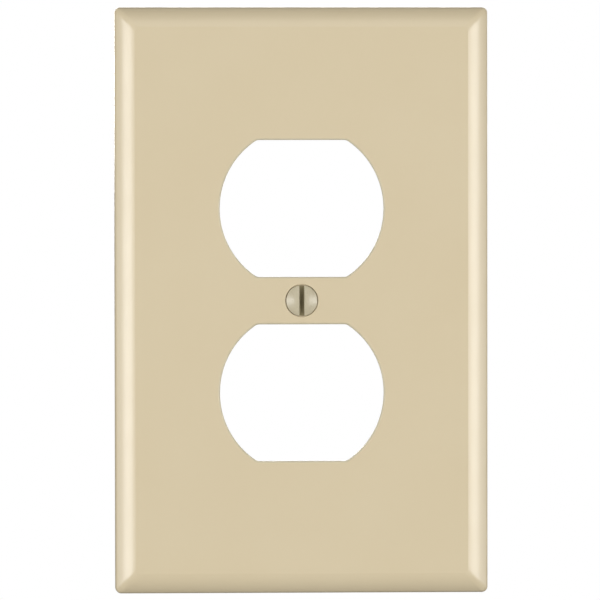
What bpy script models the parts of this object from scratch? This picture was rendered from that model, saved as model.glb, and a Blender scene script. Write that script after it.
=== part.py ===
"""Midway-size cover plate for a duplex receptacle, with the screw that holds it on.

Frame: metres, +Z up, +X to the right as seen from the front, front face towards -Y.
The origin is the middle of the plate in the plane of its back rim, which is the face of the wall.
The screw runs along +Y from the front face, through the plate and past the wall plane, where the
tapped strap of the receptacle takes it.
"""

import math

import bmesh
import bpy

MM = 0.001
INCH = 0.0254

# Plate: outline and section
PLATE_WIDTH = 79.1 * MM
PLATE_HEIGHT = 124.2 * MM
PLATE_DEPTH = 0.25 * INCH
CORNER_RADIUS = 1.2 * MM  # of the outline, at the wall
MITRE_RADIUS = 0.5 * MM  # least radius where two crowned edges meet
CROWN_WIDTH = 3.9 * MM  # crowned border of the face
CROWN_START = math.radians(8.5)  # slope at which the crown leaves the flat face
CROWN_END = math.radians(46)  # slope at which the crown meets the shoulder
SHOULDER_WIDTH = 0.4 * MM  # tight rounding between crown and side
SIDE_DRAFT = math.radians(2)
FACE_WALL = 2.3 * MM
RIM_WALL = 2.6 * MM
POCKET_RADIUS = 2.0 * MM  # upright corners of the hollow back
POCKET_FILLET = 1.0 * MM  # between the hollow's floor and its sides

# Plate: the two receptacle openings, each a circle with a flat above and below
OPENING_DIAMETER = 34.6 * MM
FLAT_CUT = 2.85 * MM  # how far each flat lies inside the circle
WEB_HEIGHT = 10.0 * MM  # between the two openings
OPENING_DRAFT = math.radians(2)  # the openings widen towards the back
EDGE_BREAK = 0.35 * MM  # rounding of an opening's front edge

# Plate: stiffening on the back
STRAP_FRONT = 1.5 * MM  # front of the receptacle's strap, ahead of the wall
RIB_THICKNESS = 1.5 * MM
UPRIGHT_RIB_HEIGHT = 1.6 * MM
CROSS_RIB_HEIGHT = 1.2 * MM
CROSS_RIB_OFFSET = 6.0 * MM  # outer cross ribs, beyond the openings
BOSS_WALL = 2.2 * MM  # around the screw hole
EMBED = 0.5 * MM  # how far ribs and boss run into the wall that carries them

# Screw: No. 6-32, slotted oval head, length measured from the head's rim
SCREW_DIAMETER = 3.5 * MM
SCREW_LENGTH = 0.5 * INCH
THREAD_PITCH = INCH / 32
THREAD_FLANK = math.radians(30)
THREAD_SHARE = 0.6134  # height of a unified thread, as a share of its pitch
CREST_SHARE = 1 / 8  # flat crest of a unified thread, as a share of its pitch
HEAD_DIAMETER = 6.56 * MM
HEAD_LAND = 0.12 * MM  # straight edge between dome and cone
HEAD_CONE = math.radians(82)
DOME_HEIGHT = 0.9 * MM
SLOT_WIDTH = 1.05 * MM
SLOT_DEPTH = 1.2 * MM  # from the top of the dome
NECK_LENGTH = 0.7 * MM  # plain shank under the cone
TIP_DIAMETER = 2.2 * MM
THREAD_END_SLOPE = math.radians(45)  # of the chamfered tip, and of the run-out under the neck

# Fits between the screw and the plate, all on radius
SHANK_CLEARANCE = 0.3 * MM
HEAD_CLEARANCE = 0.3 * MM

# Fineness of curved surfaces
CORNER_STEPS = 5
CROWN_STEPS = 7
SHOULDER_STEPS = 4
FILLET_STEPS = 3
OPENING_STEPS = 24
TURN_STEPS = 40
DOME_STEPS = 6
THREAD_STEPS = 20
ROD_TURN = math.radians(3)  # about the axis, so that no two solids share an edge
ENVELOPE_TURN = math.radians(5)
MERGE = 0.001 * MM

# Worked out from the sizes above
POCKET_FLOOR = -(PLATE_DEPTH - FACE_WALL)
OPENING_HEIGHT = OPENING_DIAMETER - 2 * FLAT_CUT
OPENING_CENTRE = (WEB_HEIGHT + OPENING_HEIGHT) / 2
HOLE_RADIUS = SCREW_DIAMETER / 2 + SHANK_CLEARANCE
THREAD_HEIGHT = THREAD_SHARE * THREAD_PITCH
ROOT_RADIUS = SCREW_DIAMETER / 2 - THREAD_HEIGHT
NECK_RADIUS = (ROOT_RADIUS + SCREW_DIAMETER / 2) / 2
CONE_END = HEAD_LAND + (HEAD_DIAMETER / 2 - NECK_RADIUS) / math.tan(HEAD_CONE / 2)


def clear_scene():
    """Remove every object, so that the file holds only this model."""
    for obj in list(bpy.data.objects):
        bpy.data.objects.remove(obj, do_unlink=True)


def new_collection(name, parent):
    """A collection linked under its parent."""
    made = bpy.data.collections.new(name)
    parent.children.link(made)
    return made


def new_material(name, colour, roughness, metallic):
    """A Principled material of one finish."""
    material = bpy.data.materials.new(name)
    material.use_nodes = True
    shader = material.node_tree.nodes["Principled BSDF"]
    shader.inputs["Base Color"].default_value = (*colour, 1.0)
    shader.inputs["Roughness"].default_value = roughness
    shader.inputs["Metallic"].default_value = metallic
    return material


def new_object(name, mesh, collection, location=(0, 0, 0)):
    """An object for a mesh, linked into a collection."""
    obj = bpy.data.objects.new(name, mesh)
    obj.location = location
    collection.objects.link(obj)
    return obj


def as_cutter(obj):
    """Mark a helper that is only cut from, joined to or crossed with a part."""
    obj.hide_render = True
    obj.display_type = "WIRE"
    return obj


def rounded_rectangle(width, height, radius, y):
    """Ring of points around a rectangle with round corners, in the plane at y."""
    points = []
    for corner in range(4):
        across = math.cos(math.pi / 4 + corner * math.pi / 2)
        up = math.sin(math.pi / 4 + corner * math.pi / 2)
        centre_x = math.copysign(width / 2 - radius, across)
        centre_z = math.copysign(height / 2 - radius, up)
        for step in range(CORNER_STEPS + 1):
            angle = (corner + step / CORNER_STEPS) * math.pi / 2
            x = centre_x + radius * math.cos(angle)
            z = centre_z + radius * math.sin(angle)
            points.append((x, y, z))
    return points


def flatted_circle(radius, flat, centre_z, y):
    """Ring of points around a circle whose top and bottom are cut off at flat from its centre."""
    reach = math.asin(flat / radius)
    points = []
    for side in (0, math.pi):
        for step in range(OPENING_STEPS + 1):
            angle = side + reach * (2 * step / OPENING_STEPS - 1)
            points.append((radius * math.cos(angle), y, centre_z + radius * math.sin(angle)))
    return points


def loft(name, sections, collection):
    """Closed solid through a list of rings that all have the same number of points."""
    bm = bmesh.new()
    rings = [[bm.verts.new(point) for point in section] for section in sections]
    loops = [[bm.edges.new(pair) for pair in zip(ring, ring[1:] + ring[:1])] for ring in rings]
    for near, far in zip(loops, loops[1:]):
        bmesh.ops.bridge_loops(bm, edges=near + far)
    bm.faces.new(rings[0])
    bm.faces.new(rings[-1])
    bmesh.ops.recalc_face_normals(bm, faces=bm.faces)
    mesh = bpy.data.meshes.new(name)
    bm.to_mesh(mesh)
    bm.free()
    return new_object(name, mesh, collection)


def block(name, size, centre, collection):
    """Rectangular block of a size, about a centre."""
    mesh = bpy.data.meshes.new(name)
    bm = bmesh.new()
    bmesh.ops.create_cube(bm, size=1.0)
    bmesh.ops.scale(bm, vec=size, verts=bm.verts)
    bmesh.ops.translate(bm, vec=centre, verts=bm.verts)
    bm.to_mesh(mesh)
    bm.free()
    return new_object(name, mesh, collection)


def turned(name, profile, collection, location=(0, 0, 0), steps=TURN_STEPS):
    """Solid turned about Y from (radius, y) points, given from its tip end to its head end."""
    mesh = bpy.data.meshes.new(name)
    points = [(radius, y, 0) for radius, y in profile]
    edges = [(i, i + 1) for i in range(len(points) - 1)]
    mesh.from_pydata(points, edges, [])
    obj = new_object(name, mesh, collection, location)
    lathe = obj.modifiers.new("lathe", "SCREW")
    lathe.axis = "Y"
    lathe.angle = 2 * math.pi
    lathe.steps = steps
    lathe.render_steps = steps
    lathe.use_merge_vertices = True
    lathe.merge_threshold = MERGE
    return obj


def combine(obj, operation, other):
    """Boolean of an object with another object, or with every object of a collection."""
    modifier = obj.modifiers.new(operation.lower(), "BOOLEAN")
    modifier.operation = operation
    modifier.solver = "EXACT"
    if isinstance(other, bpy.types.Collection):
        modifier.operand_type = "COLLECTION"
        modifier.collection = other
    else:
        modifier.object = other


def shade(obj, material, sharp_angle=math.radians(30)):
    """Give an object its finish and smooth shading between its sharp edges."""
    obj.data.materials.append(material)
    obj.data.shade_smooth()
    obj.data.set_sharp_from_angle(angle=sharp_angle)


def bend(width, start, end, steps, inset, y):
    """(inset, y) points of an arc of some width that turns the outside from one slope to another."""
    radius = width / (math.sin(start) - math.sin(end))
    points = []
    for step in range(steps + 1):
        slope = start + (end - start) * step / steps
        run = radius * (math.sin(start) - math.sin(slope))
        rise = radius * (math.cos(slope) - math.cos(start))
        points.append((inset + run, y - rise))
    return points


def plate_section():
    """(inset, y) points up the outside of the plate, from the wall to the edge of the flat face."""
    upright = math.pi / 2 - SIDE_DRAFT
    shoulder = bend(SHOULDER_WIDTH, upright, CROWN_END, SHOULDER_STEPS, 0, 0)
    crown = bend(CROWN_WIDTH, CROWN_END, CROWN_START, CROWN_STEPS, *shoulder[-1])[1:]
    side_top = -PLATE_DEPTH - crown[-1][1]
    side_inset = -side_top * math.tan(SIDE_DRAFT)
    return [(0, 0)] + [(side_inset + inset, side_top + y) for inset, y in shoulder + crown]


def plate_blank(collection):
    """The plate's outside: an upright side, then a crowned edge up to the flat face."""
    sections = []
    for inset, y in plate_section():
        radius = max(CORNER_RADIUS - inset, MITRE_RADIUS)
        width = PLATE_WIDTH - 2 * inset
        height = PLATE_HEIGHT - 2 * inset
        sections.append(rounded_rectangle(width, height, radius, y))
    return loft("cover_plate", sections, collection)


def pocket(collection):
    """The hollow of the back, with a fillet around its floor."""
    width = PLATE_WIDTH - 2 * RIM_WALL
    height = PLATE_HEIGHT - 2 * RIM_WALL
    sections = [rounded_rectangle(width, height, POCKET_RADIUS, PLATE_DEPTH)]
    for step in range(FILLET_STEPS + 1):
        angle = step / FILLET_STEPS * math.pi / 2
        inset = POCKET_FILLET * (1 - math.cos(angle))
        y = POCKET_FLOOR + POCKET_FILLET * (1 - math.sin(angle))
        radius = POCKET_RADIUS - inset
        sections.append(rounded_rectangle(width - 2 * inset, height - 2 * inset, radius, y))
    return as_cutter(loft("pocket", sections, collection))


def opening(name, centre_z, collection):
    """Cutter for a receptacle opening: a rounded front edge, then walls that widen to the back."""
    radius = OPENING_DIAMETER / 2
    flat = OPENING_HEIGHT / 2
    steps = [(EDGE_BREAK, -2 * PLATE_DEPTH)]
    for step in range(FILLET_STEPS + 1):
        angle = step / FILLET_STEPS * math.pi / 2
        grow = EDGE_BREAK * (1 - math.sin(angle))
        steps.append((grow, -PLATE_DEPTH + EDGE_BREAK * (1 - math.cos(angle))))
    steps.append(((PLATE_DEPTH - EDGE_BREAK) * math.tan(OPENING_DRAFT), 0))
    sections = [flatted_circle(radius + grow, flat + grow, centre_z, y) for grow, y in steps]
    return as_cutter(loft(name, sections, collection))


def screw_hole(collection):
    """Cutter for the countersunk clearance hole, whose cone runs parallel to the head's."""
    mouth = HEAD_DIAMETER / 2 + HEAD_CLEARANCE
    cone_depth = (mouth - HOLE_RADIUS) / math.tan(HEAD_CONE / 2)
    profile = [
        (0, 0),
        (HOLE_RADIUS, 0),
        (HOLE_RADIUS, HEAD_LAND + cone_depth - PLATE_DEPTH),
        (mouth, HEAD_LAND - PLATE_DEPTH),
        (mouth, -2 * PLATE_DEPTH),
        (0, -2 * PLATE_DEPTH),
    ]
    return as_cutter(turned("screw_hole", profile, collection))


def stiffeners(collection):
    """Ribs across the hollow back, and the boss that bears on the strap around the screw hole."""
    inner_width = PLATE_WIDTH - 2 * RIM_WALL
    inner_height = PLATE_HEIGHT - 2 * RIM_WALL
    upright_x = (OPENING_DIAMETER / 2 + inner_width / 2) / 2
    cross_z = OPENING_CENTRE + OPENING_HEIGHT / 2 + CROSS_RIB_OFFSET
    upright = (RIB_THICKNESS, UPRIGHT_RIB_HEIGHT + EMBED, inner_height + 2 * EMBED)
    upright_y = POCKET_FLOOR + (UPRIGHT_RIB_HEIGHT - EMBED) / 2
    for side, x in (("left", -upright_x), ("right", upright_x)):
        as_cutter(block(f"{side}_rib", upright, (x, upright_y, 0), collection))
    cross = (inner_width + 2 * EMBED, CROSS_RIB_HEIGHT + EMBED / 2, RIB_THICKNESS)
    web = (2 * upright_x, *cross[1:])
    cross_y = POCKET_FLOOR + (CROSS_RIB_HEIGHT - EMBED / 2) / 2
    for place, size, z in (("lower", cross, -cross_z), ("web", web, 0), ("upper", cross, cross_z)):
        as_cutter(block(f"{place}_rib", size, (0, cross_y, z), collection))
    boss_radius = HOLE_RADIUS + BOSS_WALL
    boss_root = POCKET_FLOOR - EMBED
    profile = [(0, -STRAP_FRONT), (boss_radius, -STRAP_FRONT), (boss_radius, boss_root), (0, boss_root)]
    as_cutter(turned("boss", profile, collection))


def cover_plate(parts, cutters, material):
    """The moulded plate, one solid."""
    plate = plate_blank(parts)
    added = new_collection("plate_stiffeners", cutters)
    removed = new_collection("plate_holes", cutters)
    stiffeners(added)
    opening("upper_opening", OPENING_CENTRE, removed)
    opening("lower_opening", -OPENING_CENTRE, removed)
    screw_hole(removed)
    combine(plate, "DIFFERENCE", pocket(cutters))
    combine(plate, "UNION", added)
    combine(plate, "DIFFERENCE", removed)
    shade(plate, material)
    return plate


def thread_outline():
    """(radius, y) points along one pitch of the thread: root, flank, crest and flank."""
    flank = THREAD_HEIGHT * math.tan(THREAD_FLANK)
    crest = CREST_SHARE * THREAD_PITCH
    root = THREAD_PITCH - crest - 2 * flank
    crest_radius = SCREW_DIAMETER / 2
    return [
        (ROOT_RADIUS, 0),
        (ROOT_RADIUS, root),
        (crest_radius, root + flank),
        (crest_radius, root + flank + crest),
        (ROOT_RADIUS, THREAD_PITCH),
    ]


def threaded_rod(collection, location):
    """One pitch of the thread swept along its helix, then cut square and closed at both ends."""
    start = CONE_END - THREAD_PITCH
    end = SCREW_LENGTH + THREAD_PITCH
    sweep = turned("thread_sweep", thread_outline(), collection, steps=THREAD_STEPS)
    lathe = sweep.modifiers["lathe"]
    lathe.screw_offset = THREAD_PITCH
    lathe.iterations = math.ceil((end - start) / THREAD_PITCH) + 1
    graph = bpy.context.evaluated_depsgraph_get()
    mesh = bpy.data.meshes.new_from_object(sweep.evaluated_get(graph))
    bpy.data.objects.remove(sweep, do_unlink=True)
    bm = bmesh.new()
    bm.from_mesh(mesh)
    bmesh.ops.remove_doubles(bm, verts=bm.verts, dist=MERGE)
    bmesh.ops.translate(bm, vec=(0, start - THREAD_PITCH, 0), verts=bm.verts)
    for cut_y, away in ((start, -1), (end, 1)):
        everything = bm.verts[:] + bm.edges[:] + bm.faces[:]
        plane = {"plane_co": (0, cut_y, 0), "plane_no": (0, away, 0)}
        bmesh.ops.bisect_plane(bm, geom=everything, dist=0, clear_outer=True, **plane)
        rim = [edge for edge in bm.edges if edge.is_boundary and abs(edge.verts[0].co.y - cut_y) < MERGE]
        bmesh.ops.edgeloop_fill(bm, edges=rim)
    bmesh.ops.recalc_face_normals(bm, faces=bm.faces)
    bm.to_mesh(mesh)
    bm.free()
    rod = as_cutter(new_object("threaded_rod", mesh, collection, location))
    rod.rotation_euler.y = ROD_TURN
    return rod


def thread_envelope(collection, location):
    """What the thread is trimmed to: hidden in the neck, a run-out, the crest and a chamfered tip."""
    outside = SCREW_DIAMETER / 2 + EMBED
    hidden = TIP_DIAMETER / 2
    rise = (outside - hidden) * math.tan(THREAD_END_SLOPE)
    run_out = CONE_END + NECK_LENGTH / 2
    profile = [
        (0, SCREW_LENGTH),
        (TIP_DIAMETER / 2, SCREW_LENGTH),
        (outside, SCREW_LENGTH - rise),
        (outside, run_out + rise),
        (hidden, run_out),
        (hidden, CONE_END),
        (0, CONE_END),
    ]
    envelope = as_cutter(turned("thread_envelope", profile, collection, location))
    envelope.rotation_euler.y = ENVELOPE_TURN
    return envelope


def mounting_screw(parts, cutters, material):
    """The screw, one solid, with its origin on its axis at the head's rim."""
    location = (0, -PLATE_DEPTH, 0)
    rim = HEAD_DIAMETER / 2
    sphere = (rim**2 + DOME_HEIGHT**2) / (2 * DOME_HEIGHT)
    reach = math.asin(rim / sphere)
    profile = [(0, CONE_END + NECK_LENGTH), (NECK_RADIUS, CONE_END + NECK_LENGTH), (NECK_RADIUS, CONE_END)]
    profile.append((rim, HEAD_LAND))
    for step in range(DOME_STEPS + 1):
        angle = reach * (1 - step / DOME_STEPS)
        y = sphere * (1 - math.cos(angle)) - DOME_HEIGHT
        profile.append((sphere * math.sin(angle), y))
    screw = turned("mounting_screw", profile, parts, location)
    rod = threaded_rod(cutters, location)
    combine(rod, "INTERSECT", thread_envelope(cutters, location))
    combine(screw, "UNION", rod)
    slot_size = (SLOT_WIDTH, 2 * SLOT_DEPTH, 2 * HEAD_DIAMETER)
    slot_centre = (0, location[1] - DOME_HEIGHT, 0)
    combine(screw, "DIFFERENCE", as_cutter(block("slot", slot_size, slot_centre, cutters)))
    shade(screw, material)
    return screw


def main():
    clear_scene()
    scene = bpy.context.scene.collection
    parts = new_collection("duplex_wall_plate", scene)
    cutters = new_collection("cutters", scene)
    ivory = new_material("ivory_thermoset", (0.66, 0.575, 0.385), 0.35, 0.0)
    enamel = new_material("enamelled_steel", (0.56, 0.51, 0.37), 0.35, 0.6)
    cover_plate(parts, cutters, ivory)
    mounting_screw(parts, cutters, enamel)


main()
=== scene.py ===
"""Finished look of a midway-size duplex wall plate and the screw that holds it.

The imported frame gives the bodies, the places and the overall sizes. The plate and the screw are
modelled again here with fine edges, a dressed back and a cut thread, and each gets its own finish.
All lengths are in metres: +Z is up the plate, and the front face looks towards -Y.
"""

import logging
import math
from collections.abc import Iterable, Iterator
from contextlib import contextmanager
from dataclasses import dataclass, field
from enum import Enum

import bmesh
import bpy
from mathutils import Matrix, Vector


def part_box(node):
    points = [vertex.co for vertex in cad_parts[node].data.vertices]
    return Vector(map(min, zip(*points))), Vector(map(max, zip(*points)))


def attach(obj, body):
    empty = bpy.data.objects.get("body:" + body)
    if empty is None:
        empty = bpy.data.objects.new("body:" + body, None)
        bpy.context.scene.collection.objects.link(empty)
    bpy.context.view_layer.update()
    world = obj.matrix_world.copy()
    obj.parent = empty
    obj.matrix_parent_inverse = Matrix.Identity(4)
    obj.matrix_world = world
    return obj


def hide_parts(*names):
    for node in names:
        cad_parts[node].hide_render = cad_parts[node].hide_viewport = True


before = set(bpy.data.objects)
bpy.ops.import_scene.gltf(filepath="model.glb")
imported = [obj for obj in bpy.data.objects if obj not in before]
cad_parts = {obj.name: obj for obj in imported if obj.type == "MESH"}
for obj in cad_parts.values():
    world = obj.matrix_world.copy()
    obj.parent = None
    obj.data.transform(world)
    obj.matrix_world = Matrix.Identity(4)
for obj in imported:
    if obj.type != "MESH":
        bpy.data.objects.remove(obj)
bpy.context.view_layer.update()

MM = 0.001
INCH = 0.0254
MERGE = 0.0005 * MM
QUARTER = math.pi / 2
FLAT_NORMAL = 0.99999  # how squarely a normal lies along Y on a true flat
FLAT_EDGE = math.radians(3.5)  # turn at which a flat's edge is kept crisp
FLAT_WEIGHT = 60  # how strongly large faces pull the shading
Colour = tuple[float, float, float]
Point = tuple[float, float, float]

log = logging.getLogger("wall_plate")


# ---------------------------------------------------------------- finishes


class Graph:
    """Node tree of one material, with short calls that add a node and join it up."""

    def __init__(self, name: str) -> None:
        """Start a material that holds only its output and a Principled shader.

        Args:
            name: the material's name.
        """
        self.material = bpy.data.materials.new(name)
        self.material.use_nodes = True
        self.tree = self.material.node_tree
        self.shader = self.tree.nodes["Principled BSDF"]
        self.place = self.add("ShaderNodeTexCoord").outputs["Object"]

    def add(self, kind: str, **inputs: object) -> bpy.types.Node:
        """Add a node and fill its inputs.

        Args:
            kind: the node's type.
            inputs: values or sockets by input name, with _ for each space.

        Returns:
            The new node.
        """
        node = self.tree.nodes.new(kind)
        for name, value in inputs.items():
            self.feed(node.inputs[name.replace("_", " ")], value)
        return node

    def feed(self, socket: bpy.types.NodeSocket, value: object) -> None:
        """Join a socket to an output, or set its value."""
        if isinstance(value, bpy.types.NodeSocket):
            self.tree.links.new(value, socket)
        else:
            socket.default_value = value

    def noise(self, size: float, detail: float = 2.0, stretch: Point = (1, 1, 1)) -> bpy.types.NodeSocket:
        """Cloudy noise on the piece's own coordinates.

        Args:
            size: width of one blotch.
            detail: octaves of finer noise.
            stretch: factors on the pattern's frequency along each axis.

        Returns:
            A factor from 0 to 1.
        """
        mapping = self.add("ShaderNodeMapping", Vector=self.place, Scale=stretch)
        node = self.add("ShaderNodeTexNoise", Vector=mapping.outputs["Vector"], Scale=1 / size, Detail=detail)
        return node.outputs["Fac"]

    def remap(self, source: bpy.types.NodeSocket, low: float, high: float,
              start: float = 0.3, end: float = 0.7) -> bpy.types.NodeSocket:
        """Map a factor between start and end onto a range of values."""
        node = self.add("ShaderNodeMapRange", Value=source, From_Min=start, From_Max=end,
                        To_Min=low, To_Max=high)
        return node.outputs["Result"]

    def arithmetic(self, operation: str, *values: object) -> bpy.types.NodeSocket:
        """Work out a sum from values or sockets."""
        node = self.tree.nodes.new("ShaderNodeMath")
        node.operation = operation
        for socket, value in zip(node.inputs, values):
            self.feed(socket, value)
        return node.outputs["Value"]

    def mix(self, factor: bpy.types.NodeSocket, first: object, second: object) -> bpy.types.NodeSocket:
        """Blend two colours by a factor."""
        node = self.tree.nodes.new("ShaderNodeMix")
        node.data_type = "RGBA"
        self.feed(node.inputs[0], factor)
        for socket, value in ((node.inputs[6], first), (node.inputs[7], second)):
            self.feed(socket, (*value, 1.0) if isinstance(value, tuple) else value)
        return node.outputs[2]

    def bump(self, height: bpy.types.NodeSocket, rise: float,
             below: bpy.types.NodeSocket | None = None) -> bpy.types.NodeSocket:
        """Raise the surface by a height factor.

        Args:
            height: factor from 0 to 1.
            rise: height of a full factor.
            below: normal of the bump that this one lies on.

        Returns:
            The bumped normal.
        """
        node = self.add("ShaderNodeBump", Height=height, Distance=rise, Strength=1.0)
        if below is not None:
            self.feed(node.inputs["Normal"], below)
        return node.outputs["Normal"]


@dataclass(frozen=True)
class Thermoset:
    """Ivory moulding compound, as the mould leaves it."""

    name: str
    colour: Colour
    deeper: Colour  # where the compound is a little more yellow
    roughness: float
    roughness_spread: float
    peel_size: float
    peel_rise: float
    index: float = 1.6
    cloud_size: float = 22 * MM
    grain_size: float = 0.35 * MM
    grain_share: float = 0.25
    haze_size: float = 9 * MM
    sag_size: float = 14 * MM
    sag_rise: float = 6  # in peels

    def material(self) -> bpy.types.Material:
        """Make the material."""
        graph = Graph(self.name)
        shader = graph.shader
        clouds = graph.remap(graph.noise(self.cloud_size, 3.0), 0.0, 1.0)
        grain = graph.remap(graph.noise(self.grain_size, 2.0), 0.0, self.grain_share)
        tint = graph.mix(clouds, self.colour, self.deeper)
        graph.feed(shader.inputs["Base Color"], graph.mix(grain, tint, self.deeper))
        spread = self.roughness_spread
        haze = graph.remap(graph.noise(self.haze_size, 4.0), self.roughness - spread, self.roughness + spread)
        graph.feed(shader.inputs["Roughness"], haze)
        sag = graph.bump(graph.noise(self.sag_size, 1.0), self.sag_rise * self.peel_rise)
        peel = graph.bump(graph.noise(self.peel_size, 2.0), self.peel_rise, sag)
        graph.feed(shader.inputs["Normal"], peel)
        shader.inputs["IOR"].default_value = self.index
        return graph.material


@dataclass(frozen=True)
class Enamel:
    """Ivory enamel sprayed on a steel head, running out into bright zinc along the shank."""

    name: str
    paint: Colour
    zinc: Colour
    paint_end: float  # where the spray stops, along the screw
    spray_fade: float
    roughness: float = 0.3
    wear: tuple[float, float] = (0.04, 0.05)  # how far the roughness strays down and up
    wear_size: float = 0.6 * MM
    speckle_size: float = 0.25 * MM
    dust_size: float = 0.5 * MM
    dust_share: float = 0.35
    dust_shade: float = 0.86
    zinc_cloud_size: float = 1.2 * MM
    zinc_shade: float = 0.8
    zinc_dulling: float = 0.15  # how much rougher the zinc is than the enamel
    peel_size: float = 0.45 * MM
    peel_rise: float = 1.2e-6

    def material(self) -> bpy.types.Material:
        """Make the material."""
        graph = Graph(self.name)
        shader = graph.shader
        along = graph.add("ShaderNodeSeparateXYZ", Vector=graph.place).outputs["Y"]
        speckle = graph.remap(graph.noise(self.speckle_size, 3.0), -self.spray_fade, self.spray_fade)
        edge = graph.arithmetic("ADD", along, speckle)
        fade = self.spray_fade / 2
        bare = graph.remap(edge, 0.0, 1.0, self.paint_end - fade, self.paint_end + fade)
        dust = graph.remap(graph.noise(self.dust_size, 3.0), 0.0, self.dust_share)
        paint = graph.mix(dust, self.paint, tuple(self.dust_shade * part for part in self.paint))
        clouds = graph.noise(self.zinc_cloud_size, 4.0)
        zinc = graph.mix(clouds, self.zinc, tuple(self.zinc_shade * part for part in self.zinc))
        graph.feed(shader.inputs["Base Color"], graph.mix(bare, paint, zinc))
        graph.feed(shader.inputs["Metallic"], bare)
        least, most = self.roughness - self.wear[0], self.roughness + self.wear[1]
        wear = graph.remap(graph.noise(self.wear_size, 3.0), least, most)
        dull = graph.arithmetic("MULTIPLY_ADD", bare, self.zinc_dulling, wear)
        graph.feed(shader.inputs["Roughness"], dull)
        peel = graph.bump(graph.noise(self.peel_size, 1.0), self.peel_rise)
        graph.feed(shader.inputs["Normal"], peel)
        return graph.material


@dataclass(frozen=True)
class Matt:
    """Plain matt surface for the studio floor, with an even glow of its own."""

    name: str
    colour: Colour
    glow: float
    cloud_size: float = 0.4
    cloud_shade: float = 0.98
    roughness: float = 0.9

    def material(self) -> bpy.types.Material:
        """Make the material."""
        graph = Graph(self.name)
        clouds = graph.noise(self.cloud_size, 2.0)
        uneven = graph.mix(clouds, self.colour, tuple(self.cloud_shade * part for part in self.colour))
        graph.feed(graph.shader.inputs["Base Color"], uneven)
        graph.feed(graph.shader.inputs["Emission Color"], uneven)
        graph.shader.inputs["Emission Strength"].default_value = self.glow
        graph.shader.inputs["Roughness"].default_value = self.roughness
        return graph.material


FACE_FINISH = Thermoset(
    name="ivory_thermoset_polished",
    colour=(0.64, 0.546, 0.372),
    deeper=(0.63, 0.533, 0.358),
    roughness=0.3,
    roughness_spread=0.02,
    peel_size=1.1 * MM,
    peel_rise=1.0e-6,
)
BACK_FINISH = Thermoset(
    name="ivory_thermoset_matt",
    colour=(0.55, 0.465, 0.315),
    deeper=(0.53, 0.44, 0.29),
    roughness=0.5,
    roughness_spread=0.06,
    peel_size=0.5 * MM,
    peel_rise=3.0e-6,
)
# darker copy of the face's ivory for the openings' rounded edges: painted shade
LIP_SHADE_FINISH = Thermoset(
    name="ivory_thermoset_lip_painted_shade",
    colour=(0.6, 0.53, 0.37),
    deeper=(0.57, 0.5, 0.34),
    roughness=0.5,
    roughness_spread=0.05,
    peel_size=0.4 * MM,
    peel_rise=1.0e-6,
)
ENAMEL_COLOUR = (0.51, 0.455, 0.32)
SLOT_SHADE_COLOUR = (0.28, 0.235, 0.125)  # painted shade: the slot's paint is darkened where the recess falls into shade
ZINC_COLOUR = (0.72, 0.73, 0.73)
FLOOR_FINISH = Matt(name="pale_floor", colour=(0.95, 0.95, 0.94), glow=0.86)


# ---------------------------------------------------------------- mesh helpers


@dataclass
class Ring:
    """A closed run of edges in one plane square to Y, and how far it reaches from its centre."""

    bm: bmesh.types.BMesh
    edges: list[bmesh.types.BMEdge]
    across: float
    up: float
    y: float
    centre: float = 0.0  # height of the ring's middle

    @property
    def verts(self) -> list[bmesh.types.BMVert]:
        """The ring's vertices, each once."""
        return list({vert for edge in self.edges for vert in edge.verts})

    def step(self, across: float, up: float, y: float) -> "Ring":
        """Extrude the ring to a new size and depth.

        Args:
            across: the new ring's reach along X.
            up: the new ring's reach along Z.
            y: the new ring's plane.

        Returns:
            The new ring, joined to this one by a band of faces.
        """
        made = bmesh.ops.extrude_edge_only(self.bm, edges=self.edges)["geom"]
        verts = {part for part in made if isinstance(part, bmesh.types.BMVert)}
        edges = list({edge for vert in verts for edge in vert.link_edges if set(edge.verts) <= verts})
        scale = (across / self.across, 1, up / self.up)
        middle = Matrix.Translation((0, 0, -self.centre))
        bmesh.ops.scale(self.bm, vec=scale, space=middle, verts=list(verts))
        bmesh.ops.translate(self.bm, vec=(0, y - self.y, 0), verts=list(verts))
        return Ring(self.bm, edges, across, up, y, self.centre)

    def follow(self, path: Iterable[tuple[float, float]], across: float, up: float) -> "Ring":
        """Step along a section.

        Args:
            path: (inset, y) points.
            across: reach along X where the inset is zero.
            up: reach along Z where the inset is zero.

        Returns:
            The last ring.
        """
        ring = self
        for inset, y in path:
            ring = ring.step(across - inset, up - inset, y)
        return ring


def rectangle(bm: bmesh.types.BMesh, size: tuple[float, float], radius: float, steps: int, y: float) -> Ring:
    """Ring around a rectangle with round corners.

    Args:
        bm: mesh that takes the ring.
        size: the rectangle's width and height.
        radius: of the corners.
        steps: edges in each corner.
        y: the ring's plane.

    Returns:
        The ring.
    """
    before = set(bm.edges)
    grid = bmesh.ops.create_grid(bm, x_segments=1, y_segments=1, size=0.5)
    bmesh.ops.scale(bm, vec=(*size, 1), verts=grid["verts"])
    bmesh.ops.bevel(bm, geom=grid["verts"], offset=radius, offset_type="OFFSET", segments=steps,
                    profile=0.5, affect="VERTICES", material=-1)
    return laid_ring(bm, before, size[0] / 2, size[1] / 2, y, 0.0)


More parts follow.
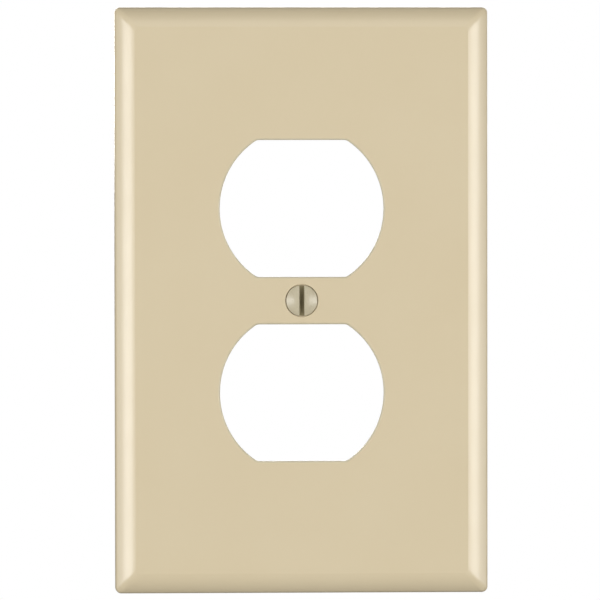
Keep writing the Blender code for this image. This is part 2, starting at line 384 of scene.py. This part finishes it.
def circle(bm: bmesh.types.BMesh, radius: float, steps: int, y: float, centre: float = 0.0,
           flat: float | None = None, corner: float = 0.0, corner_steps: int = 3) -> Ring:
    """Ring around a circle, or around one with its top and bottom cut off flat.

    Args:
        bm: mesh that takes the ring.
        radius: of the circle.
        steps: edges in the whole circle.
        y: the ring's plane.
        centre: height of the circle's centre.
        flat: distance of the two flats from the centre.
        corner: size of the rounding where a flat meets the circle.
        corner_steps: edges in that rounding.

    Returns:
        The ring.
    """
    before = set(bm.edges)
    bmesh.ops.create_circle(bm, cap_ends=True, radius=radius, segments=steps)
    if flat is not None:
        for side in (-1, 1):
            fresh = [edge for edge in bm.edges if edge not in before]
            geom = fresh + list({part for edge in fresh for part in (*edge.verts, *edge.link_faces)})
            bmesh.ops.bisect_plane(bm, geom=geom, plane_co=(0, side * flat, 0), plane_no=(0, side, 0),
                                   clear_outer=True)
        fresh = [edge for edge in bm.edges if edge not in before]
        tips = {vert for edge in fresh for vert in edge.verts if abs(abs(vert.co.y) - flat) < MERGE}
        bmesh.ops.bevel(bm, geom=list(tips), offset=corner, offset_type="OFFSET", segments=corner_steps,
                        profile=0.5, affect="VERTICES", material=-1)
    return laid_ring(bm, before, radius, flat or radius, y, centre)


def laid_ring(bm: bmesh.types.BMesh, before: set[bmesh.types.BMEdge], across: float, up: float, y: float,
              centre: float) -> Ring:
    """Take the cap off the edges drawn since before, and stand them up in the ring's plane."""
    edges = [edge for edge in bm.edges if edge not in before]
    caps = list({face for edge in edges for face in edge.link_faces})
    bmesh.ops.delete(bm, geom=caps, context="FACES_ONLY")
    ring = Ring(bm, edges, across, up, y, centre)
    stand = Matrix.Translation((0, y, centre)) @ Matrix.Rotation(math.pi / 2, 4, "X")
    bmesh.ops.transform(bm, matrix=stand, verts=ring.verts)
    return ring


@contextmanager
def enlarged(bm: bmesh.types.BMesh) -> Iterator[None]:
    """Hold a mesh in millimetres for operators whose tolerances suit lengths near one."""
    bmesh.ops.scale(bm, vec=(1 / MM,) * 3, verts=bm.verts)
    yield
    bmesh.ops.scale(bm, vec=(MM,) * 3, verts=bm.verts)


def fill_between(bm: bmesh.types.BMesh, rings: list[Ring], facing: int) -> None:
    """Fill the flat between an outer ring and the rings inside it.

    Args:
        bm: mesh that holds the rings.
        rings: the outer ring and the inner ones.
        facing: sign of the flat's direction along Y.
    """
    edges = [edge for ring in rings for edge in ring.edges]
    with enlarged(bm):
        bmesh.ops.triangle_fill(bm, use_beauty=True, edges=edges, normal=(0, facing, 0))


def bend(radius: float, start: float, end: float, steps: int, inset: float = 0.0,
         y: float = 0.0) -> list[tuple[float, float]]:
    """Points of a section along an arc that turns the surface from one slope to another.

    Slopes are angles from facing the front: half a turn faces the wall, a quarter turn faces
    outwards and minus a quarter turn faces inwards. A hollow arc has a negative radius.

    Args:
        radius: of the arc.
        start: slope at the first point.
        end: slope at the last point.
        steps: edges in the arc.
        inset: of the first point.
        y: of the first point.

    Returns:
        (inset, y) points.
    """
    slopes = [start + (end - start) * step / steps for step in range(steps + 1)]
    return [(inset + radius * (math.sin(start) - math.sin(slope)),
             y + radius * (math.cos(start) - math.cos(slope))) for slope in slopes]


def coat(bm: bmesh.types.BMesh, finish: Enum) -> None:
    """Give every face of a mesh the same finish."""
    for face in bm.faces:
        face.material_index = finish.value


def new_piece(name: str, bm: bmesh.types.BMesh, finishes: Iterable[bpy.types.Material]) -> bpy.types.Object:
    """Object in the scene that takes a finished bmesh.

    Args:
        name: of the object.
        bm: its mesh, which is freed.
        finishes: materials in the order of the mesh's slots.

    Returns:
        The object.
    """
    mesh = bpy.data.meshes.new(name)
    for finish in finishes:
        mesh.materials.append(finish)
    bm.to_mesh(mesh)
    bm.free()
    piece = bpy.data.objects.new(name, mesh)
    bpy.context.scene.collection.objects.link(piece)
    return piece


def combined(piece: bpy.types.Object, operation: str, tools: list[bpy.types.Object]) -> bpy.types.Object:
    """Join tools to a piece, cut them from it or cross it with them, and remove them.

    Args:
        piece: object that is changed.
        operation: UNION, DIFFERENCE or INTERSECT.
        tools: solids, used one after the other.

    Returns:
        The changed piece.
    """
    for tool in tools:
        modifier = piece.modifiers.new(tool.name, "BOOLEAN")
        modifier.operation = operation
        modifier.solver = "EXACT"
        modifier.object = tool
    graph = bpy.context.evaluated_depsgraph_get()
    mesh = bpy.data.meshes.new_from_object(piece.evaluated_get(graph), depsgraph=graph)
    piece.modifiers.clear()
    piece.data = mesh
    for tool in tools:
        bpy.data.objects.remove(tool, do_unlink=True)
    return piece


def keep_flats_flat(piece: bpy.types.Object, crease: float = math.radians(28)) -> None:
    """Shade smooth between creases, and let each large flat keep its own direction.

    Args:
        piece: object to shade.
        crease: edges sharper than this stay crisp.
    """
    mesh = piece.data
    bm = bmesh.new()
    bm.from_mesh(mesh)
    bmesh.ops.remove_doubles(bm, verts=bm.verts, dist=MERGE)
    bmesh.ops.dissolve_degenerate(bm, edges=bm.edges, dist=MERGE)
    for face in bm.faces:
        face.smooth = True
    for edge in bm.edges:
        if len(edge.link_faces) != 2:
            continue
        turn = edge.calc_face_angle()
        facing = sorted(abs(face.normal.y) for face in edge.link_faces)
        leaves_flat = facing[1] > FLAT_NORMAL and turn > FLAT_EDGE
        edge.smooth = not (turn > crease or leaves_flat)
    bm.to_mesh(mesh)
    bm.free()
    even = piece.modifiers.new("even_flats", "WEIGHTED_NORMAL")
    even.mode = "FACE_AREA"
    even.weight = FLAT_WEIGHT
    even.keep_sharp = True


# ---------------------------------------------------------------- the plate


class Zone(Enum):
    """Parts of the moulding with their own finish, as slots of its mesh."""

    FACE = 0  # polished half of the mould
    BACK = 1  # matt half of the mould
    LIP = 2  # rounded edges of the openings, a little darker in colour: painted shade


@dataclass
class CoverPlate:
    """The moulded plate: crowned outside, two openings, a countersunk hole and a ribbed back."""

    width: float
    height: float
    depth: float
    corner_radius: float = 1.2 * MM
    corner_steps: int = 8
    crown_width: float = 3.9 * MM
    crown_start: float = math.radians(8.5)
    crown_end: float = math.radians(46)
    crown_steps: int = 16
    shoulder_width: float = 0.4 * MM
    shoulder_steps: int = 10
    side_draft: float = math.radians(2)
    edge_round: float = 0.15 * MM
    edge_steps: int = 4
    hidden_edge_steps: int = 3
    face_wall: float = 2.3 * MM
    rim_wall: float = 2.6 * MM
    pocket_radius: float = 2.0 * MM
    pocket_fillet: float = 1.0 * MM
    fillet_steps: int = 6
    opening_radius: float = 17.3 * MM
    flat_cut: float = 2.85 * MM
    web_height: float = 10.0 * MM
    opening_draft: float = math.radians(2)
    opening_steps: int = 144
    opening_corner: float = 0.45 * MM
    edge_break: float = 0.35 * MM
    break_steps: int = 5
    strap_front: float = 1.5 * MM
    rib_thickness: float = 1.5 * MM
    rib_draft: float = math.radians(1.5)
    rib_edge: float = 0.2 * MM
    rib_sunk: float = 0.45  # share of a rib's rise that is sunk into the floor
    rib_overrun: float = 0.5 * MM  # how far a rib runs into the walls
    upright_rib: float = 1.6 * MM
    cross_rib: float = 1.2 * MM
    cross_rib_offset: float = 6.0 * MM
    web_rib_share: float = 0.96  # of the cross ribs' rise
    boss_wall: float = 2.2 * MM
    boss_fillet: float = 0.3 * MM
    hole_radius: float = 2.05 * MM
    hole_steps: int = 72
    head_radius: float = 3.28 * MM
    head_clearance: float = 0.2 * MM
    head_land: float = 0.12 * MM
    head_cone: float = math.radians(82)
    countersink_edge: float = 0.06 * MM
    pin_radius: float = 2.0 * MM
    pin_depth: float = 0.12 * MM
    pin_inset: float = 5 * MM  # from the upright ribs towards the middle
    pin_steps: int = 48
    back_normal: float = 0.7  # normals that point further back than this lie in the matt half
    front_normal: float = 0.999  # normals squarer than this lie in the flat face
    finishes: list[bpy.types.Material] = field(init=False, default_factory=list)

    @property
    def floor(self) -> float:
        """Where the floor of the hollow back lies along Y."""
        return self.face_wall - self.depth

    @property
    def flat(self) -> float:
        """Distance of an opening's flats from its centre."""
        return self.opening_radius - self.flat_cut

    @property
    def opening_centre(self) -> float:
        """Height of the upper opening's centre."""
        return self.web_height / 2 + self.flat

    def build(self) -> bpy.types.Object:
        """Model the plate.

        Returns:
            The finished piece.
        """
        self.finishes = [finish.material() for finish in (FACE_FINISH, BACK_FINISH, LIP_SHADE_FINISH)]
        bm = bmesh.new()
        face_ring, floor_ring = self.outside_and_pocket(bm)
        fronts, backs = [face_ring], [floor_ring]
        for side in (-1, 1):
            front, back = self.opening(bm, side * self.opening_centre)
            fronts.append(front)
            backs.append(back)
        front, back = self.screw_hole(bm)
        fronts.append(front)
        backs.append(back)
        fill_between(bm, fronts, -1)
        fill_between(bm, backs, 1)
        bmesh.ops.recalc_face_normals(bm, faces=bm.faces)
        for face in bm.faces:
            face.material_index = self.zone(face).value
        piece = new_piece("cover_plate_moulding", bm, self.finishes)
        combined(piece, "UNION", self.ribs())
        combined(piece, "DIFFERENCE", self.pin_marks())
        keep_flats_flat(piece)
        return piece

    def outside(self) -> list[tuple[float, float]]:
        """(inset, y) points from the rim round its edge, up the side, and over the crown."""
        upright = QUARTER - self.side_draft
        crown = self.crown_width / (math.sin(self.crown_end) - math.sin(self.crown_start))
        shoulder = self.shoulder_width / (math.sin(upright) - math.sin(self.crown_end))
        crown_foot = crown * (math.cos(self.crown_start) - math.cos(self.crown_end)) - self.depth
        side_top = crown_foot + shoulder * (math.cos(self.crown_end) - math.cos(upright))
        side_inset = -side_top * math.tan(self.side_draft)
        path = bend(self.edge_round, 2 * QUARTER, upright, self.edge_steps, self.edge_round, 0.0)[1:]
        path += bend(shoulder, upright, self.crown_end, self.shoulder_steps, side_inset, side_top)
        return path + bend(crown, self.crown_end, self.crown_start, self.crown_steps, *path[-1])[1:]

    def outside_and_pocket(self, bm: bmesh.types.BMesh) -> tuple[Ring, Ring]:
        """Run rings from the rim over the crown to the flat face, and down into the hollow back.

        Returns:
            The rings that bound the flat face and the hollow's floor.
        """
        half = (self.width / 2, self.height / 2)
        small, wall, fillet = self.edge_round, self.rim_wall, self.pocket_fillet
        size = (self.width - 2 * small, self.height - 2 * small)
        rim = rectangle(bm, size, self.corner_radius, self.corner_steps, 0.0)
        face_ring = rim.follow(self.outside(), *half)
        size = (self.width - 2 * (wall - small), self.height - 2 * (wall - small))
        inner = rectangle(bm, size, self.pocket_radius, self.corner_steps, 0.0)
        fill_between(bm, [rim, inner], 1)
        path = bend(small, 2 * QUARTER, 3 * QUARTER, self.edge_steps, wall - small, 0.0)[1:]
        path += bend(-fillet, 3 * QUARTER, 2 * QUARTER, self.fillet_steps, wall, self.floor + fillet)
        return face_ring, inner.follow(path, *half)

    def opening(self, bm: bmesh.types.BMesh, centre: float) -> tuple[Ring, Ring]:
        """Line one receptacle opening.

        Args:
            bm: the plate's mesh.
            centre: height of the opening's centre.

        Returns:
            The rings in the flat face and in the hollow's floor.
        """
        soft, small = self.edge_break, self.edge_round
        reach = (self.opening_radius, self.flat)
        front = circle(bm, reach[0] + soft, self.opening_steps, -self.depth, centre, reach[1] + soft,
                       self.opening_corner)
        grow = (self.face_wall - soft - small) * math.tan(self.opening_draft)
        path = bend(soft, 0.0, -QUARTER, self.break_steps, -soft, -self.depth)[1:]
        path += bend(small, -QUARTER, -2 * QUARTER, self.hidden_edge_steps, -grow, self.floor - small)
        return front, front.follow(path, *reach)

    def screw_hole(self, bm: bmesh.types.BMesh) -> tuple[Ring, Ring]:
        """Line the countersunk hole and raise the boss around it.

        Returns:
            The rings in the flat face and in the hollow's floor.
        """
        soft, small, steps = self.countersink_edge, self.edge_round, self.edge_steps
        mouth = self.head_radius + self.head_clearance
        cone = (mouth - self.hole_radius) / math.tan(self.head_cone / 2)
        front = circle(bm, mouth + soft, self.hole_steps, -self.depth)
        boss = self.hole_radius + self.boss_wall
        top = -self.strap_front
        path = bend(soft, 0.0, -QUARTER, steps, -mouth - soft, -self.depth)[1:]
        path += [(-mouth, self.head_land - self.depth),
                 (-self.hole_radius, self.head_land + cone - self.depth)]
        path += bend(small, -QUARTER, -2 * QUARTER, self.hidden_edge_steps, -self.hole_radius, top - small)
        path += bend(small, 2 * QUARTER, QUARTER, steps, -boss + small, top)
        path += bend(-self.boss_fillet, QUARTER, 2 * QUARTER, steps, -boss, self.floor + self.boss_fillet)
        return front, front.follow(path, 0.0, 0.0)

    def zone(self, face: bmesh.types.BMFace) -> Zone:
        """Find which zone a face lies in."""
        middle = face.calc_center_median()
        within = max(abs(middle.x) - self.width / 2, abs(middle.z) - self.height / 2) < -self.rim_wall / 2
        behind = middle.y > self.floor - 2 * self.edge_round
        if face.normal.y > self.back_normal or (within and behind):
            return Zone.BACK
        from_opening = math.hypot(middle.x, abs(middle.z) - self.opening_centre) - self.opening_radius
        if from_opening < self.edge_break and abs(face.normal.y) < self.front_normal:
            if abs(middle.z) > self.web_height / 2 - 2 * self.edge_break:
                # faces on the openings' rounded edges take the darker lip colour: painted shade
                return Zone.LIP
        return Zone.FACE

    def rib(self, name: str, size: tuple[float, float, float],
            centre: tuple[float, float]) -> bpy.types.Object:
        """One rib with drafted sides and rounded top edges.

        Args:
            name: the rib's name.
            size: across X, height off the floor, and along Z.
            centre: where its middle lies along X and Z.

        Returns:
            The rib, sunk a little into the floor.
        """
        across, rise, along = size
        sunk = self.rib_sunk * rise
        bm = bmesh.new()
        bmesh.ops.create_cube(bm, size=1.0)
        bmesh.ops.scale(bm, vec=(across, rise + sunk, along), verts=bm.verts)
        crest = [vert for vert in bm.verts if vert.co.y > 0]
        draft = 2 * rise * math.tan(self.rib_draft)
        shrink = ((across - draft) / across, 1, (along - draft) / along)
        bmesh.ops.scale(bm, vec=shrink, verts=crest)
        edges = [edge for edge in bm.edges if all(vert in crest for vert in edge.verts)]
        bmesh.ops.bevel(bm, geom=edges, offset=self.rib_edge, offset_type="OFFSET", segments=3,
                        profile=0.5, affect="EDGES", material=-1)
        coat(bm, Zone.BACK)
        middle = self.floor + (rise - sunk) / 2
        bmesh.ops.translate(bm, vec=(centre[0], middle, centre[1]), verts=bm.verts)
        return new_piece(name, bm, self.finishes)

    def ribs(self) -> list[bpy.types.Object]:
        """The two upright ribs, the cross ribs above and below the openings, and the web's rib."""
        thick = self.rib_thickness
        inner_x = self.width / 2 - self.rim_wall
        inner_z = self.height / 2 - self.rim_wall
        upright_x = (self.opening_radius + inner_x) / 2
        cross_z = self.opening_centre + self.flat + self.cross_rib_offset
        overrun = self.rib_overrun
        made = []
        for side, word in ((-1, "left"), (1, "right")):
            size = (thick, self.upright_rib, 2 * (inner_z + overrun))
            made.append(self.rib(f"{word}_rib", size, (side * upright_x, 0)))
            boss = self.hole_radius + self.boss_wall / 2
            size = (upright_x - boss, self.web_rib_share * self.cross_rib, thick)
            made.append(self.rib(f"{word}_web_rib", size, (side * (upright_x + boss) / 2, 0)))
        for side, word in ((-1, "lower"), (1, "upper")):
            size = (2 * (inner_x + overrun), self.cross_rib, thick)
            made.append(self.rib(f"{word}_rib", size, (0, side * cross_z)))
        return made

    def pin_marks(self) -> list[bpy.types.Object]:
        """Shallow round marks where the ejector pins pushed the moulding out."""
        pin_x = (self.opening_radius + self.width / 2 - self.rim_wall) / 2 - self.pin_inset
        pin_z = self.opening_centre + self.flat + 2 * self.cross_rib_offset
        made = []
        places = [(x, z) for x in (-pin_x, 0, pin_x) for z in (-pin_z, pin_z)]
        for number, (x, z) in enumerate(places):
            bm = bmesh.new()
            bmesh.ops.create_cone(bm, cap_ends=True, segments=self.pin_steps, radius1=self.pin_radius,
                                  radius2=self.pin_radius, depth=2 * self.pin_depth)
            turn = Matrix.Translation((x, self.floor, z)) @ Matrix.Rotation(math.pi / 2, 4, "X")
            bmesh.ops.transform(bm, matrix=turn, verts=bm.verts)
            coat(bm, Zone.BACK)
            made.append(new_piece(f"pin_mark_{number}", bm, self.finishes))
        return made


# ---------------------------------------------------------------- the screw


class Coat(Enum):
    """Coats of paint on the screw, as slots of its mesh; the slot's coat is a darker copy that paints in the
    slot's shade.
    """

    OUTSIDE = 0
    # the slot's faces, coloured darker as painted shade
    SLOT = 1


@dataclass
class MountingScrew:
    """The No. 6-32 slotted oval-head screw, along +Y from the plate's face."""

    rim: float  # where the head's rim lies along Y
    length: float
    head_radius: float = 3.28 * MM
    dome_height: float = 0.9 * MM
    head_land: float = 0.12 * MM
    head_cone: float = math.radians(82)
    slot_width: float = 1.05 * MM
    slot_depth: float = 1.2 * MM
    slot_fillet: float = 0.08 * MM
    slot_edge: float = 0.05 * MM
    slot_corner: float = 1.0  # least turn, in radians, from the dome into the slot
    dome_slope: float = math.radians(28)  # where the dome runs into the rounded rim
    rim_round: float = 0.1 * MM
    rim_steps: int = 6
    dome_steps: int = 20
    major_radius: float = 1.75 * MM
    pitch: float = INCH / 32
    thread_depth: float = 0.6134  # in pitches
    crest_width: float = 1 / 8  # in pitches
    flank_slope: float = math.radians(30)
    thread_start: float = math.radians(3.1)  # keeps the thread's edges off the head's
    neck_length: float = 0.7 * MM
    tip_radius: float = 1.1 * MM
    spare: float = 0.5 * MM  # how far the trimming solid stands off the crest
    paint_run: float = 0.4 * MM  # how far the spray reaches past the cone
    spray_fade: float = 0.5 * MM
    turn_steps: int = 96
    envelope_steps: int = 88
    thread_steps: int = 36
    finishes: list[bpy.types.Material] = field(init=False, default_factory=list)

    @property
    def root_radius(self) -> float:
        """Radius of the thread's root."""
        return self.major_radius - self.thread_depth * self.pitch

    @property
    def neck_radius(self) -> float:
        """Radius of the plain neck, about the thread's pitch radius."""
        return (self.root_radius + self.major_radius) / 2

    @property
    def cone_end(self) -> float:
        """How far below the rim the cone meets the neck."""
        return self.head_land + (self.head_radius - self.neck_radius) / math.tan(self.head_cone / 2)

    def build(self) -> bpy.types.Object:
        """Model the screw.

        Returns:
            The finished piece.
        """
        self.finishes = [finish.material() for finish in self.paints()]
        head = self.turned("screw_head", self.head_profile(), self.turn_steps)
        envelope = self.turned("envelope", self.envelope_profile(), self.envelope_steps)
        rod = combined(self.thread(), "INTERSECT", [envelope])
        combined(head, "UNION", [rod])
        combined(head, "DIFFERENCE", [self.slot()])
        self.break_slot_edges(head)
        head.data.transform(Matrix.Translation((0, self.rim, 0)))
        head.name = "mounting_screw_finished"
        keep_flats_flat(head)
        return head

    def head_profile(self) -> list[tuple[float, float]]:
        """(radius, y) points from the neck's end over the cone and the rim to the dome's top."""
        neck_end = self.cone_end + self.neck_length
        rim_rise = self.rim_round * (math.cos(self.dome_slope) - math.cos(QUARTER))
        rim_width = self.rim_round * (math.sin(QUARTER) - math.sin(self.dome_slope))
        dome = (self.head_radius - rim_width) / math.sin(self.dome_slope)
        rise = self.dome_height - dome * (1 - math.cos(self.dome_slope))
        path = bend(self.rim_round, QUARTER, self.dome_slope, self.rim_steps, 0.0, rim_rise - rise)
        path += bend(dome, self.dome_slope, 0.0, self.dome_steps, *path[-1])[1:]
        under = [(0, neck_end), (self.neck_radius, neck_end), (self.neck_radius, self.cone_end),
                 (self.head_radius, self.head_land)]
        return under + [(self.head_radius - inset, y) for inset, y in path]

    def envelope_profile(self) -> list[tuple[float, float]]:
        """(radius, y) points of what the thread is trimmed to: run-out, crest and chamfered tip."""
        outside = self.major_radius + self.spare
        rise = outside - self.tip_radius
        run_out = self.cone_end + self.neck_length / 2
        return [(0, self.cone_end), (self.tip_radius, self.cone_end), (self.tip_radius, run_out),
                (outside, run_out + rise), (outside, self.length - rise), (self.tip_radius, self.length),
                (0, self.length)]

    def turned(self, name: str, profile: list[tuple[float, float]], steps: int) -> bpy.types.Object:
        """Solid turned about Y.

        Args:
            name: the solid's name.
            profile: (radius, y) points from axis to axis.
            steps: faces round the turn.

        Returns:
            The solid.
        """
        bm = bmesh.new()
        verts = [bm.verts.new((radius, y, 0)) for radius, y in profile]
        edges = [bm.edges.new(pair) for pair in zip(verts, verts[1:])]
        bmesh.ops.spin(bm, geom=verts + edges, cent=(0, 0, 0), axis=(0, 1, 0), angle=2 * math.pi,
                       steps=steps, use_merge=True)
        bmesh.ops.remove_doubles(bm, verts=bm.verts, dist=MERGE)
        bmesh.ops.recalc_face_normals(bm, faces=bm.faces)
        return new_piece(name, bm, self.finishes)

    def thread(self) -> bpy.types.Object:
        """One pitch of the thread swept along its helix, closed square at both ends."""
        flank = self.thread_depth * self.pitch * math.tan(self.flank_slope)
        crest = self.crest_width * self.pitch
        root = self.pitch - crest - 2 * flank
        outline = [(self.root_radius, 0.0), (self.root_radius, root),
                   (self.major_radius, root + flank), (self.major_radius, root + flank + crest),
                   (self.root_radius, self.pitch)]
        start = self.cone_end - self.pitch
        end = self.length + self.pitch
        turns = math.ceil((end - start) / self.pitch) + 2
        bm = bmesh.new()
        verts = [bm.verts.new((radius, y + start - self.pitch, 0)) for radius, y in outline]
        edges = [bm.edges.new(pair) for pair in zip(verts, verts[1:])]
        steps = self.thread_steps * turns
        bmesh.ops.spin(bm, geom=verts + edges, cent=(0, 0, 0), axis=(0, 1, 0), angle=2 * math.pi * turns,
                       dvec=(0, self.pitch / self.thread_steps, 0), steps=steps, use_merge=False)
        bmesh.ops.remove_doubles(bm, verts=bm.verts, dist=0.002 * MM)
        for cut, away in ((start, -1), (end, 1)):
            geom = bm.verts[:] + bm.edges[:] + bm.faces[:]
            bmesh.ops.bisect_plane(bm, geom=geom, dist=0, plane_co=(0, cut, 0), plane_no=(0, away, 0),
                                   clear_outer=True)
            rim = [edge for edge in bm.edges if edge.is_boundary and abs(edge.verts[0].co.y - cut) < MERGE]
            bmesh.ops.edgeloop_fill(bm, edges=rim)
        bmesh.ops.recalc_face_normals(bm, faces=bm.faces)
        turn = Matrix.Rotation(self.thread_start, 3, "Y")
        bmesh.ops.rotate(bm, cent=(0, 0, 0), matrix=turn, verts=bm.verts)
        return new_piece("thread", bm, self.finishes)

    def slot(self) -> bpy.types.Object:
        """Cutter for the driver slot, upright across the head."""
        bm = bmesh.new()
        bmesh.ops.create_cube(bm, size=1.0)
        reach = 4 * self.head_radius
        bmesh.ops.scale(bm, vec=(self.slot_width, 2 * self.slot_depth, reach), verts=bm.verts)
        low = [edge for edge in bm.edges if all(vert.co.y > 0 for vert in edge.verts)
               and abs(edge.verts[0].co.z - edge.verts[1].co.z) > self.head_radius]
        bmesh.ops.bevel(bm, geom=low, offset=self.slot_fillet, offset_type="OFFSET", segments=3,
                        profile=0.5, affect="EDGES", material=-1)
        bmesh.ops.translate(bm, vec=(0, -self.dome_height, 0), verts=bm.verts)
        # the slot's faces take the darker coat: painted shade inside the slot
        coat(bm, Coat.SLOT)
        return new_piece("slot", bm, self.finishes)

    def break_slot_edges(self, head: bpy.types.Object) -> None:
        """Take the sharpness off the edges where the slot cuts the dome."""
        bm = bmesh.new()
        bm.from_mesh(head.data)
        bmesh.ops.remove_doubles(bm, verts=bm.verts, dist=MERGE)
        half = self.slot_width / 2
        lip = []
        for edge in bm.edges:
            on_wall = all(abs(abs(vert.co.x) - half) < MERGE for vert in edge.verts)
            on_dome = all(vert.co.y < 0 for vert in edge.verts)
            if not (on_wall and on_dome and len(edge.link_faces) == 2):
                continue
            if edge.calc_face_angle() > self.slot_corner:
                lip.append(edge)
        bmesh.ops.bevel(bm, geom=lip, offset=self.slot_edge, offset_type="OFFSET", segments=2, profile=0.5,
                        affect="EDGES", clamp_overlap=True, material=-1)
        bm.to_mesh(head.data)
        bm.free()

    def paints(self) -> list[Enamel]:
        """The paint and zinc outside, and inside the slot a darker paint that is painted shade."""
        end, fade = self.rim + self.cone_end + self.paint_run, self.spray_fade
        outside = Enamel("ivory_enamel_on_zinc", ENAMEL_COLOUR, ZINC_COLOUR, end, fade)
        inside = Enamel("ivory_enamel_painted_slot_shade", SLOT_SHADE_COLOUR, ZINC_COLOUR, end, fade, roughness=0.5)
        return [outside, inside]


# ---------------------------------------------------------------- the studio


class Place(Enum):
    """Where a softbox stands: degrees round the object from the front, and degrees above it."""

    LEFT = (-45.0, -1.5)
    RIGHT = (45.0, -1.0)
    FAR_LEFT = (-80.0, -8.0)
    FAR_RIGHT = (80.0, -8.0)
    TOP = (0.0, 36.0)
    BACK = (180.0, 18.0)


@dataclass
class Softbox:
    """A rectangular soft light that looks at the object."""

    place: Place
    size: tuple[float, float]
    radiance: float
    distance: float = 1.2

    def build(self) -> bpy.types.Object:
        """Set up the light.

        Returns:
            The light's object.
        """
        data = bpy.data.lights.new(f"softbox_{self.place.name.lower()}", "AREA")
        data.shape = "RECTANGLE"
        data.size, data.size_y = self.size
        data.energy = self.radiance * math.pi * self.size[0] * self.size[1]
        lamp = bpy.data.objects.new(data.name, data)
        around, above = (math.radians(angle) for angle in self.place.value)
        level = math.cos(above)
        towards = Vector((math.sin(around) * level, -math.cos(around) * level, math.sin(above)))
        lamp.location = towards * self.distance
        lamp.rotation_euler = towards.to_track_quat("Z", "Y").to_euler()
        lamp.visible_camera = False
        bpy.context.scene.collection.objects.link(lamp)
        return lamp


@dataclass
class Studio:
    """White surround, softboxes, the camera, and a pale floor that the object neither takes light
    from nor mirrors.
    """

    plate_width: float
    plate_depth: float
    camera_distance: float = 1.0
    camera_yaw: float = math.radians(1.8)  # towards the plate's left
    camera_rise: float = math.radians(1.4)
    camera_roll: float = math.radians(-0.08)
    plate_share: float = 0.6208  # of the picture's width
    shift: tuple[float, float] = (-0.003, 0.0011)
    floor_drop: float = 0.9
    floor_radius: float = 7.0
    surround: tuple[float, float] = (0.09, 0.1)  # its strength as a light, in front and behind
    surround_fade: tuple[float, float] = (-0.5, 0.3)  # where along Y one strength turns into the other
    far_end: float = 20.0  # beyond which the camera sees nothing

    def build(self) -> None:
        """Set up the whole studio."""
        self.world()
        self.floor()
        for box in (
            Softbox(Place.LEFT, (0.8, 0.55), 7.0),
            Softbox(Place.RIGHT, (0.8, 0.55), 6.8),
            Softbox(Place.FAR_LEFT, (0.7, 0.5), 2.2),
            Softbox(Place.FAR_RIGHT, (0.7, 0.5), 2.2),
            Softbox(Place.TOP, (0.9, 0.6), 1.1),
            Softbox(Place.BACK, (0.9, 0.7), 6.0),
        ):
            box.build()
        self.camera()
        bpy.context.scene.view_settings.view_transform = "Standard"

    def world(self) -> None:
        """White surround that gives only a little light."""
        world = bpy.data.worlds.new("studio")
        bpy.context.scene.world = world
        world.use_nodes = True
        tree = world.node_tree
        shade = tree.nodes["Background"]
        shade.inputs["Color"].default_value = (1, 1, 1, 1)
        seen = tree.nodes.new("ShaderNodeLightPath")
        direction = tree.nodes.new("ShaderNodeTexCoord")
        split = tree.nodes.new("ShaderNodeSeparateXYZ")
        depth = tree.nodes.new("ShaderNodeMapRange")
        depth.interpolation_type = "SMOOTHSTEP"
        limits = (*self.surround_fade, *self.surround)
        for name, value in zip(("From Min", "From Max", "To Min", "To Max"), limits):
            depth.inputs[name].default_value = value
        strength = tree.nodes.new("ShaderNodeMix")
        strength.inputs["B"].default_value = 1.0
        tree.links.new(direction.outputs["Generated"], split.inputs["Vector"])
        tree.links.new(split.outputs["Y"], depth.inputs["Value"])
        tree.links.new(seen.outputs["Is Camera Ray"], strength.inputs["Factor"])
        tree.links.new(depth.outputs["Result"], strength.inputs["A"])
        tree.links.new(strength.outputs["Result"], shade.inputs["Strength"])

    def floor(self) -> None:
        """Round pale floor, well below the object."""
        bm = bmesh.new()
        bmesh.ops.create_circle(bm, cap_ends=True, radius=self.floor_radius, segments=96)
        bmesh.ops.translate(bm, vec=(0, 0, -self.floor_drop), verts=bm.verts)
        floor = new_piece("floor", bm, [FLOOR_FINISH.material()])
        floor.visible_diffuse = False
        floor.visible_glossy = False

    def camera(self) -> None:
        """Long lens, square on to the plate but for a small yaw and roll."""
        data = bpy.data.cameras.new("camera")
        data.sensor_width = 36.0
        reach = self.camera_distance + self.plate_depth
        data.lens = self.plate_share * data.sensor_width * reach / self.plate_width
        data.shift_x, data.shift_y = self.shift
        data.clip_end = self.far_end
        camera = bpy.data.objects.new("camera", data)
        level = math.cos(self.camera_rise)
        towards = Vector((-math.sin(self.camera_yaw) * level, -math.cos(self.camera_yaw) * level,
                          math.sin(self.camera_rise)))
        middle = Vector((0, -self.plate_depth, 0))
        camera.location = middle + towards * self.camera_distance
        look = towards.to_track_quat("Z", "Y").to_matrix()
        camera.rotation_euler = (look @ Matrix.Rotation(self.camera_roll, 3, "Z")).to_euler()
        bpy.context.scene.collection.objects.link(camera)
        bpy.context.scene.camera = camera


def main() -> None:
    """Build the plate, the screw and the studio."""
    logging.basicConfig(level=logging.INFO, format="%(name)s: %(message)s")
    low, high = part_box("cover_plate")
    plate = CoverPlate(width=high[0] - low[0], height=high[2] - low[2], depth=high[1] - low[1])
    moulding = plate.build()
    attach(moulding, "plate")
    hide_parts("cover_plate")
    log.info("%s: %d faces", moulding.name, len(moulding.data.polygons))

    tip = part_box("mounting_screw")[1][1]
    fastener = MountingScrew(rim=low[1], length=tip - low[1])
    screw = fastener.build()
    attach(screw, "screw")
    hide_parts("mounting_screw")
    log.info("%s: %d faces", screw.name, len(screw.data.polygons))

    Studio(plate_width=plate.width, plate_depth=plate.depth).build()
    log.info("studio ready")


if __name__ == "__main__":
    main()
